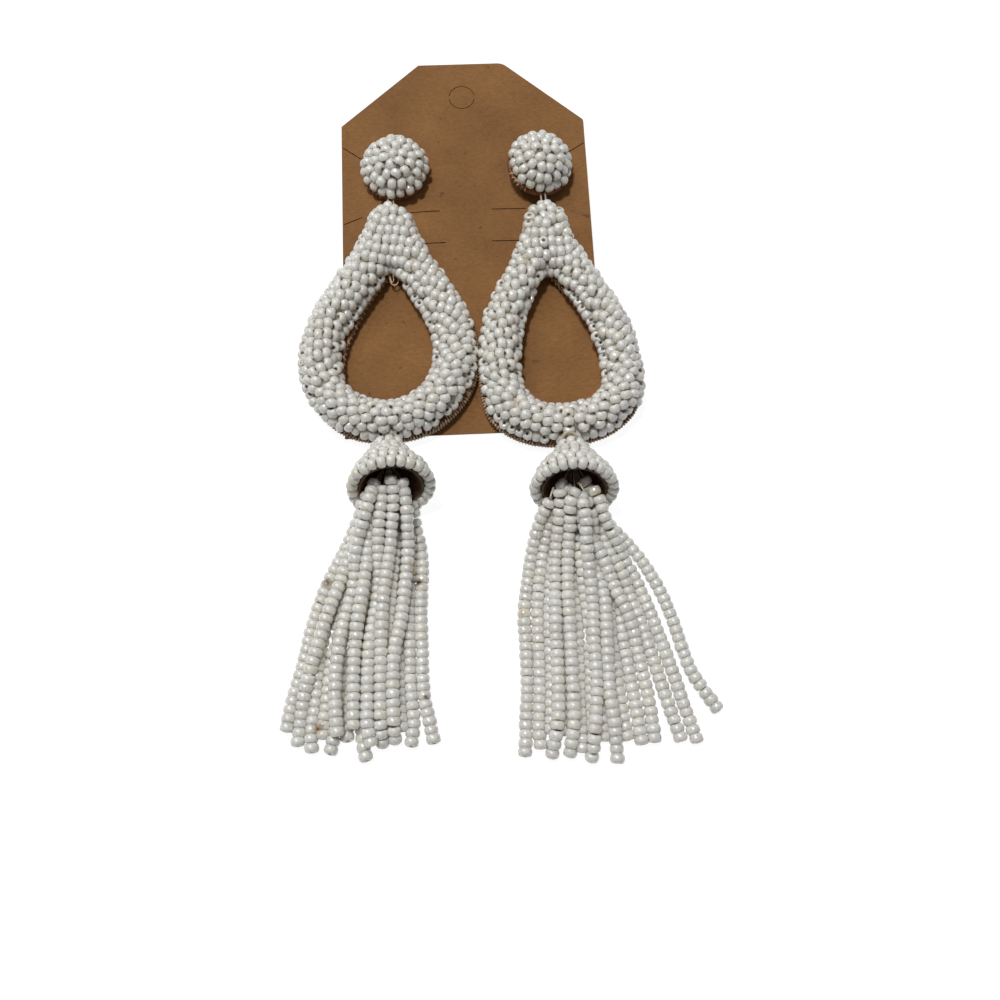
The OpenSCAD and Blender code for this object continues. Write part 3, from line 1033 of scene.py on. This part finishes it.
def stud_stitches(side, rng):
    """The stitches show on one arc of a stud only."""
    place = STUDS[side]
    parts = []
    for points, faces in whip_stitches(circle(DISC_R, 72), 1, place, "stud", rng):
        x, y, _ = place.into(points).mean(0)
        if STITCHED_FROM < math.atan2(y, x) < STITCHED_TO:
            parts.append((points, faces))
    piece(f"{side}_stud_stitches", *joined(parts), GOLD_THREAD, "brown_leather")


def dome_padding(side):
    """The felt core of a stud."""
    radius = DOME_R[side] - PAD_INSET
    height = DOME_HEIGHT - PAD_INSET
    base = DOME_BASE + 0.05
    profile = [(0.0, base)]
    for k in range(9):
        angle = math.radians(90 * k / 8)
        profile.append((radius * math.cos(angle), base + height * math.sin(angle)))
    piece(f"{side}_dome_padding", *revolved(profile, STUDS[side], 40), FELT, "brown_leather")


# columns: distance from the neck, outer radius
BELL_ROWS = np.array([
    [0, 2.6], [0.5, 3.1], [2.5, 3.4], [4.0, 4.1], [6.0, 5.5],
    [8.0, 6.8], [10.0, 7.7], [11.3, 8.0], [12.3, 8.1],
])
BELL_WALL = 2.1
# The cup: its floor from the neck, its gap to the wall, and how far its rim lies inside the mouth
CUP_FLOOR = 3.75
CUP_GAP = 0.15
CUP_RECESS = 0.9


def bell_radius(station):
    return float(np.interp(station, BELL_ROWS[:, 0], BELL_ROWS[:, 1]))


def cap_leather(side):
    """The leather cup in the bell, set in a little, with a thin cut lip; both are darker than the hoop's
    leather and cut edge, as painted shade inside the bell.
    """
    place = BELLS[side]
    outside, inside = [], []
    rim = BELL_LEN - CUP_RECESS
    for station in np.linspace(CUP_FLOOR, rim, 9):
        radius = bell_radius(station) - BELL_WALL - CUP_GAP
        thick = LEATHER_T * min(1.0, 0.35 + (rim - station) / 2)
        outside.append((max(radius, 1.0), station))
        if station > CUP_FLOOR + LEATHER_T:
            inside.append((max(radius - thick, 0.7), station))
    profile = [(0.0, CUP_FLOOR)] + outside + inside[::-1] + [(0.0, CUP_FLOOR + LEATHER_T)]
    points, faces = revolved(profile, place, 56)
    piece(f"{side}_cap_leather", points, faces, SHADED_CUP_LEATHER, "brown_leather", (f"{side}_cap_lining",))
    lip = circle(outside[-1][0] - 0.15, 72)
    lip = np.column_stack([lip, np.full(len(lip), rim + 0.16)])
    points, faces = tube(np.vstack([lip, lip[:1]]), LIP_R)
    piece(f"{side}_cap_edge", place.out(points), faces, SHADED_CUP_EDGE, "brown_leather")


# Tassels: strands of beads

# The stations along the strands, from the mouth to the ends
STATIONS = [-16, -20, -25, -30, -36, -42, -48, -54]
# columns: height of the topmost and of the lowest layer at the stations
TOP_Z = [8.6, 7.2, 5.6, 4.2, 3.2, 2.6, 2.2, 1.6]
LOW_Z = [5.5, 4.2, 2.6, 1.4, 1.1, 1.1, 1.1, 1.1]
# columns: layer, sideways place at each station, then the end's place
LEFT_STRANDS = [
    ["low", [-22.0, -23.1, -25.8, -28.3, -30.2, -31.4, -32.8, -34.2], (-34.2, -54.0)],
    ["top", [-19.6, -21.3, -22.9, -25.5, -27.8, -29.1, -30.4, -31.9], (-32.3, -56.3)],
    ["low", [-18.6, -20.2, -22.8, -25.4, -27.5, -28.4, -28.8, -29.4], (-30.0, -57.5)],
    ["top", [-18.9, -20.7, -21.7, -22.7, -24.6, -25.5, -25.9, -25.8], (-25.8, -55.3)],
    ["low", [-17.6, -19.4, -21.4, -23.2, -24.7, -25.4, -26.2, -27.0], (-26.8, -58.0)],
    ["top", [-19.5, -20.0, -20.5, -20.8, -22.0, -22.8, -23.1, -23.3], (-23.3, -54.4)],
    ["low", [-17.0, -18.2, -19.4, -20.8, -22.0, -22.9, -23.5, -24.0], (-24.1, -56.0)],
    ["top", [-17.7, -18.0, -18.7, -18.7, -19.4, -20.4, -20.4, -20.5], (-20.3, -57.3)],
    ["low", [-16.4, -17.2, -18.4, -19.4, -20.4, -21.0, -21.2, -21.5], (-21.0, -59.2)],
    ["top", [-15.7, -16.3, -17.0, -17.2, -17.6, -18.3, -18.5, -18.5], (-18.3, -57.3)],
    ["top", [-13.4, -13.1, -13.2, -13.6, -14.5, -16.1, -16.5, -16.6], (-16.4, -56.7)],
    ["low", [-14.2, -13.4, -12.9, -13.6, -14.1, -14.2, -13.8, -13.4], (-13.4, -57.5)],
    ["low", [-12.6, -11.9, -11.4, -11.3, -11.6, -12.0, -11.8, -10.2], (-9.7, -57.0)],
    ["low", [-15.0, -15.0, -15.2, -15.6, -15.6, -15.4, -15.0, -14.8], (-14.8, -55.0)],
    ["low", [-15.6, -16.0, -16.8, -17.6, -18.2, -18.9, -19.2, -19.2], (-19.2, -56.0)],
    ["low", [-16.0, -15.6, -16.0, -16.4, -16.8, -17.3, -17.2, -17.2], (-17.2, -55.6)],
    ["low", [-18.0, -19.0, -20.4, -22.0, -23.4, -26.6, -27.6, -28.2], (-28.2, -55.4)],
]
RIGHT_STRANDS = [
    ["low", [13.0, 10.8, 9.7, 8.1, 6.6, 6.9, 6.9, 6.3], (5.6, -60.0)],
    ["low", [13.8, 12.0, 11.3, 10.3, 9.8, 9.5, 9.4, 8.6], (8.3, -58.9)],
    ["top", [14.7, 14.3, 13.0, 12.4, 12.1, 12.0, 11.7, 11.2], (10.1, -60.4)],
    ["top", [16.2, 16.4, 15.3, 14.5, 14.2, 14.4, 14.3, 14.7], (13.8, -60.3)],
    ["low", [16.8, 16.9, 17.0, 16.8, 16.8, 17.0, 16.6, 15.8], (15.5, -60.0)],
    ["top", [18.0, 18.6, 18.7, 18.6, 18.9, 18.2, 18.5, 17.7], (16.2, -61.2)],
    ["top", [18.6, 19.2, 19.5, 20.8, 21.5, 20.6, 19.8, 19.7], (20.9, -61.5)],
    ["low", [18.2, 18.8, 19.8, 21.0, 21.6, 22.0, 22.2, 22.4], (22.7, -58.1)],
    ["low", [18.4, 19.6, 21.2, 22.5, 23.0, 23.7, 24.4, 25.0], (25.2, -58.9)],
    ["top", [17.6, 18.6, 20.0, 21.6, 24.0, 25.7, 26.7, 27.5], (27.4, -58.7)],
    ["top", [18.8, 20.0, 21.7, 24.3, 26.4, 28.0, 29.3, 30.6], (31.8, -58.7)],
    ["top", [19.4, 20.8, 23.9, 26.8, 28.9, 30.5, 31.9, 33.2], (34.5, -59.0)],
    ["low", [20.6, 23.0, 27.4, 30.1, 32.4, 33.7, 34.9, 38.6], (38.6, -54.0)],
    ["low", [15.0, 13.6, 12.6, 11.6, 11.0, 10.8, 10.6, 10.2], (10.0, -56.5)],
    ["low", [15.6, 15.2, 14.4, 13.8, 13.2, 13.0, 13.0, 13.0], (12.6, -57.0)],
    ["low", [17.4, 17.6, 17.8, 18.0, 18.3, 18.6, 18.8, 19.0], (18.9, -58.0)],
    ["low", [17.0, 18.0, 19.2, 19.8, 20.4, 18.4, 17.6, 17.4], (17.6, -57.6)],
]
# columns: strand, then the place of its first bead in the mouth
HEADS = {
    "left": [
        [1, -20.3, -14.9, 7.0],
        [3, -18.72, -13.1, 8.4],
        [5, -19.4, -15.6, 7.4],
        [7, -17.2, -14.2, 8.2],
        [9, -15.6, -12.9, 9.3],
        [10, -13.6, -13.2, 8.6],
    ],
    "right": [
        [0, 12.2, -17.6, 7.0],
        [2, 14.1, -16.4, 8.6],
        [3, 16.7, -16.6, 9.1],
        [5, 18.0, -17.4, 8.4],
        [6, 18.9, -18.2, 8.0],
        [9, 14.6, -14.4, 7.9],
        [10, 18.9, -14.1, 8.0],
        [11, 20.3, -16.2, 8.3],
    ],
}
STRAND_STEP = 1.50
STRAND_GAP = 2.16
NEARBY = STRAND_GAP * 1.8
FLOOR_REST = 1.24
HEAD_THREAD_R = 0.07
# How far the strands sink in each round, and the share of the way back to their routes
SETTLE_ROUNDS = 140
SINK = 0.06
HOMING = 0.10
# How uneven the places and the directions of a strand's beads are
PLACE_SPREAD = 0.03
AXIS_SPREAD = 0.07
# The beads are round near the cap and fuller further down, between these places along Y
FULL_FROM = -16.0
FULL_AT = -36.0
# Where the heads of the strands that aren't charted lie: along Y, and how high
HEAD_Y = {"left": -14.8, "right": -16.6}
HEAD_Z = 5.6


def strand_path(number, row, side):
    """The charted route of one strand, from its head in the cap to its end."""
    layer, across, (end_x, end_y) = row
    heights = TOP_Z if layer == "top" else LOW_Z
    middle = BELLS[side].out([[0, 0, BELL_LEN]])[0]
    stops = [stop for stop in zip(across, STATIONS, heights) if stop[1] > end_y + 1]
    shown = [head[1:] for head in HEADS[side] if head[0] == number]
    if shown:
        x, y, z = shown[0]
    else:
        x = middle[0] + 0.75 * (across[0] - middle[0])
        y = HEAD_Y[side] - 0.5 * (number % 3)
        z = HEAD_Z
    stops = [(x, y, z)] + [stop for stop in stops if stop[1] < y - 1.3]
    stops.append((end_x, end_y, heights[-1] if layer == "top" else 1.1))
    return evenly(smooth_path(stops, 10), STRAND_STEP)


def settle_strands(paths):
    """Lets the strands sink onto the floor and onto each other, close to their charted routes."""
    points = np.vstack(paths)
    home = points.copy()
    strand = np.concatenate([np.full(len(p), i) for i, p in enumerate(paths)])
    chained = np.where(strand[:-1] == strand[1:])[0]
    first = np.concatenate([[0], np.where(strand[1:] != strand[:-1])[0] + 1])
    inner = np.setdiff1d(chained, first)
    for step in range(SETTLE_ROUNDS):
        if step % 6 == 0:
            gap = np.linalg.norm(points[:, None] - points[None], axis=-1)
            a, b = np.where((gap < NEARBY) & (strand[:, None] < strand[None]))
        points[:, 2] -= SINK
        points[:, :2] += HOMING * (home - points)[:, :2]
        for _ in range(2):
            gap = points[a] - points[b]
            distance = np.linalg.norm(gap, axis=1)
            overlap = np.clip(STRAND_GAP - distance, 0, None)
            push = gap / np.maximum(distance, 1e-6)[:, None] * overlap[:, None] * PUSH_SHARE
            np.add.at(points, a, push)
            np.add.at(points, b, -push)
            points[:, 2] = np.maximum(points[:, 2], FLOOR_REST)
        points[inner] = 0.5 * points[inner] + 0.25 * (points[inner - 1] + points[inner + 1])
        for parity in (0, 1):
            i = chained[chained % 2 == parity]
            span = points[i + 1] - points[i]
            length = np.linalg.norm(span, axis=1, keepdims=True)
            fix = span * (1 - STRAND_STEP / np.maximum(length, 1e-6)) * 0.5
            points[i] += fix
            points[i + 1] -= fix
        points[first] = home[first]
        points[:, 2] = np.maximum(points[:, 2], FLOOR_REST)
    return [points[strand == i] for i in range(len(paths))]


def tassel(side, rows, rng):
    paths = [strand_path(number, row, side) for number, row in enumerate(rows)]
    paths = settle_strands(paths)
    centres, axes = [], []
    for path in paths:
        along = unit(np.gradient(path, axis=0))
        count = len(path)
        centres.append(path + rng.normal(0, PLACE_SPREAD, (count, 3)))
        axes.append(unit(along + rng.normal(0, AXIS_SPREAD, (count, 3))))
    centres, axes = np.vstack(centres), np.vstack(axes)
    fullness = np.clip((FULL_FROM - centres[:, 1]) / (FULL_FROM - FULL_AT), 0, 1)
    node = f"{side}_tassel"
    bead_piece(f"{side}_strand_beads", centres, axes, rng, (node,), STRAND_SIZE, fullness)
    threads = []
    neck = BELLS[side].out([[0, 0, CUP_FLOOR + LEATHER_T]])[0]
    for path in paths:
        start = neck + (path[0] - neck) * 0.2
        middle = (start + path[0]) / 2 + (0, 0, 0.2)
        threads.append(tube(smooth_path([start, middle, path[0], path[1]], 3), HEAD_THREAD_R, 5))
    piece(f"{side}_head_threads", *joined(threads), NYLON, "white_beads")


# Loose ends of thread: radius and route of each
GOLD_ENDS = [
    (0.13, [(-15.9, 32.8, 8.6), (-15.7, 31.4, 6.9), (-15.4, 30.3, 6.4), (-14.6, 29.9, 6.4),
            (-14.0, 30.7, 6.6), (-14.2, 32.0, 7.6), (-13.8, 32.9, 8.6)]),
    (0.11, [(-15.2, 32.6, 8.4), (-14.9, 31.0, 6.8), (-15.3, 30.6, 6.4), (-15.6, 31.6, 7.0)]),
    (0.12, [(16.4, 31.8, 8.0), (16.9, 30.6, 6.9), (17.6, 30.5, 6.8), (17.8, 31.6, 7.6)]),
    (0.13, [(11.7, 41.4, 10.4), (11.0, 40.6, 10.4), (11.0, 39.4, 10.1), (11.7, 38.6, 9.8)]),
    (0.12, [(-12.9, -26.9, 2.6), (-12.4, -27.2, 3.3), (-12.1, -27.9, 3.1), (-12.7, -28.4, 2.6)]),
]
NYLON_ENDS = [
    (0.17, [(13.1, -15.2, 8.4), (12.7, -16.2, 8.8), (12.3, -17.4, 8.6)]),
    (0.19, [(17.4, -14.7, 9.0), (17.9, -15.7, 9.6), (18.4, -16.7, 9.3)]),
    (0.36, [(15.2, -4.6, 4.6), (16.1, -3.5, 5.5), (17.0, -3.1, 5.8), (17.9, -3.5, 5.5), (18.8, -4.5, 4.6)]),
]
# Threads that tie stud to hoop and hoop to cap: radius and route of each
TIES = [
    (0.17, [(-15.6, 49.4, 8.4), (-15.7, 48.0, 9.1), (-15.8, 46.4, 8.8), (-15.8, 45.2, 8.0)]),
    (0.17, [(-14.6, 49.4, 8.4), (-14.6, 48.0, 9.1), (-14.5, 46.4, 8.8), (-14.5, 45.2, 8.0)]),
    (0.17, [(14.9, 48.8, 9.3), (14.9, 47.2, 10.0), (15.0, 45.7, 9.7), (15.0, 44.4, 8.8)]),
    (0.17, [(15.8, 48.8, 9.3), (15.8, 47.2, 10.0), (15.8, 45.7, 9.7), (15.8, 44.4, 8.8)]),
    (0.17, [(-16.7, 0.0, 4.0), (-16.7, -1.4, 4.6), (-16.7, -3.0, 4.7), (-16.7, -4.4, 4.9)]),
    (0.17, [(-15.8, 0.0, 4.0), (-15.8, -1.4, 4.6), (-15.8, -3.0, 4.7), (-15.8, -4.4, 4.9)]),
    (0.17, [(17.0, -2.0, 3.8), (17.0, -3.2, 4.4), (17.0, -4.8, 4.6), (17.0, -6.0, 4.8)]),
    (0.17, [(17.9, -2.0, 3.8), (17.9, -3.2, 4.4), (17.9, -4.8, 4.6), (17.9, -6.0, 4.8)]),
]


def loose_ends(name, ends, material):
    parts = [tube(smooth_path(route, 5), radius) for radius, route in ends]
    piece(name, *joined(parts), material, "white_beads")


# Card: the paper left at the bottom of its cuts, darkened as painted shade in the cuts

CARD = Place(turned(X, CARD_TILT), (0, 0, 0))
# columns: start x, start y, end x, end y
SLITS = [
    [-24.7, 62.4, -20.9, 59.6],
    [24.7, 61.9, 21.5, 59.9],
    [-24.7, 45.0, -21.0, 46.5],
    [-11.9, 47.2, -5.4, 47.4],
    [-11.2, 40.2, -4.5, 40.3],
    [5.1, 47.4, 11.9, 47.3],
    [4.8, 40.3, 11.2, 40.2],
]
HANG_MIDDLE = (0.0, 73.5)
HANG_R = 2.63
WEB_HALF = 0.25
WEB_LOW = -0.08
WEB_TOP = -0.02
# The photo shows no opening at this slit of the card, so paper fills it to the card's face
SHUT_SLIT = [(24.7, 45.0), (21.0, 46.5)]
SHUT_TOP = CARD_T + 0.004


def ribbon(path, closed, top):
    """A flat strip along a path in the card's plane, from under the card up to a height."""
    path = np.asarray(path, float)
    if closed:
        ahead = unit(np.roll(path, -1, axis=0) - np.roll(path, 1, axis=0))
    else:
        ahead = unit(np.gradient(path, axis=0))
    across = np.stack([-ahead[:, 1], ahead[:, 0]], axis=1) * WEB_HALF
    points = []
    for spot, side in zip(path, across):
        corners = ((spot - side, WEB_LOW), (spot + side, WEB_LOW), (spot + side, top), (spot - side, top))
        points += [(x, y, level) for (x, y), level in corners]
    faces = grid_faces(len(path), 4, closed, True)
    if not closed:
        last = 4 * (len(path) - 1)
        faces += [(3, 2, 1, 0), (last, last + 1, last + 2, last + 3)]
    return CARD.out(np.array(points)), faces


def card_webs():
    parts = [ribbon([(x0, y0), (x1, y1)], False, WEB_TOP) for x0, y0, x1, y1 in SLITS]
    parts.append(ribbon(HANG_MIDDLE + circle(HANG_R, 64), True, WEB_TOP))
    piece("card_cut_webs", *joined(parts), CUT_PAPER_IN_SHADE, "kraft_card")
    piece("card_shut_slit", *ribbon(SHUT_SLIT, False, SHUT_TOP), KRAFT, "kraft_card")


# Carried-over CAD nodes

def finish_node(node, material):
    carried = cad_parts[node]
    if not carried.material_slots:
        carried.data.materials.append(material)
    for held in carried.material_slots:
        held.material = material


# Camera, light and floor

LENS = 36.0
# Where the camera is in the charts' millimetres, and its right and up
CAMERA_AT = np.array([-1.94, -83.77, 171.85])
CAMERA_RIGHT = np.array([0.9986, -0.0508, 0.0123])
CAMERA_UP = np.array([0.0423, 0.9248, 0.3781])
# columns: name, place in metres, size in metres, power in watts; each light faces the origin
LIGHTS = [
    ["key", (-0.16, 0.14, 0.98), 0.12, 5.2],
    ["soft", (-0.38, 0.42, 0.82), 0.5, 2.2],
]
WORLD_LIGHT = 0.17
FLOOR_REACH = 3.0
FLOOR_Z = -0.0002
FLOOR_GLOW = 0.93


def make_camera():
    data = bpy.data.cameras.new("camera")
    data.lens = LENS
    data.sensor_width = 36.0
    data.clip_start = 0.01
    data.clip_end = 10.0
    camera = linked("camera", data)
    right = unit(CAMERA_RIGHT)
    back = unit(np.cross(right, CAMERA_UP))
    up = np.cross(back, right)
    matrix = Matrix(np.column_stack([right, up, back]).tolist()).to_4x4()
    matrix.translation = Vector(to_frame(CAMERA_AT))
    camera.matrix_world = matrix
    bpy.context.scene.camera = camera


def make_floor():
    """A floor just below everything, which glows as white as the photo's cut-out background."""
    mesh = bpy.data.meshes.new("floor")
    signs = ((-1, -1), (1, -1), (1, 1), (-1, 1))
    corners = [(x * FLOOR_REACH, y * FLOOR_REACH, FLOOR_Z) for x, y in signs]
    mesh.from_pydata(corners, [], [(0, 1, 2, 3)])
    floor = linked("floor", mesh)
    material, _, shader = new_material("pale_floor")
    fill_in(shader, {
        "Base Color": (0.2, 0.2, 0.2, 1),
        "Roughness": 0.9,
        "Specular IOR Level": 0.1,
        "Emission Color": (1, 1, 1, 1),
        "Emission Strength": FLOOR_GLOW,
    })
    mesh.materials.append(material)
    floor.visible_diffuse = False


def make_lights():
    for name, at, size, power in LIGHTS:
        data = bpy.data.lights.new(name, "AREA")
        data.shape = "DISK"
        data.size = size
        data.energy = power
        light = linked(name, data)
        light.location = at
        light.rotation_euler = (-Vector(at)).to_track_quat("-Z", "Y").to_euler()
    world = bpy.data.worlds.new("world")
    bpy.context.scene.world = world
    world.use_nodes = True
    fill_in(world.node_tree.nodes["Background"], {"Color": (1, 1, 1, 1), "Strength": WORLD_LIGHT})
    bpy.context.scene.view_settings.view_transform = "Standard"


make_camera()
make_floor()
make_lights()

rng = np.random.default_rng(11)
for side, rows, strands in (("left", LEFT_ROWS, LEFT_STRANDS), ("right", RIGHT_ROWS, RIGHT_STRANDS)):
    dome_beads(side, rng)
    dome_padding(side)
    stud_leather(side)
    stud_stitches(side, rng)
    hoop_beads(side, rows, rng)
    hoop_padding(side)
    hoop_leather(side)
    hoop_stitches(side, rng)
    cap_beads(side, rng)
    cap_leather(side)
    tassel(side, strands, rng)
    finish_node(f"{side}_ear_post", STEEL)
    finish_node(f"{side}_ear_nut", STEEL)
loose_ends("gold_thread_ends", GOLD_ENDS, GOLD_THREAD)
loose_ends("nylon_thread_ends", NYLON_ENDS, NYLON)
loose_ends("tie_threads", TIES, NYLON)
finish_node("display_card", KRAFT)
card_webs()
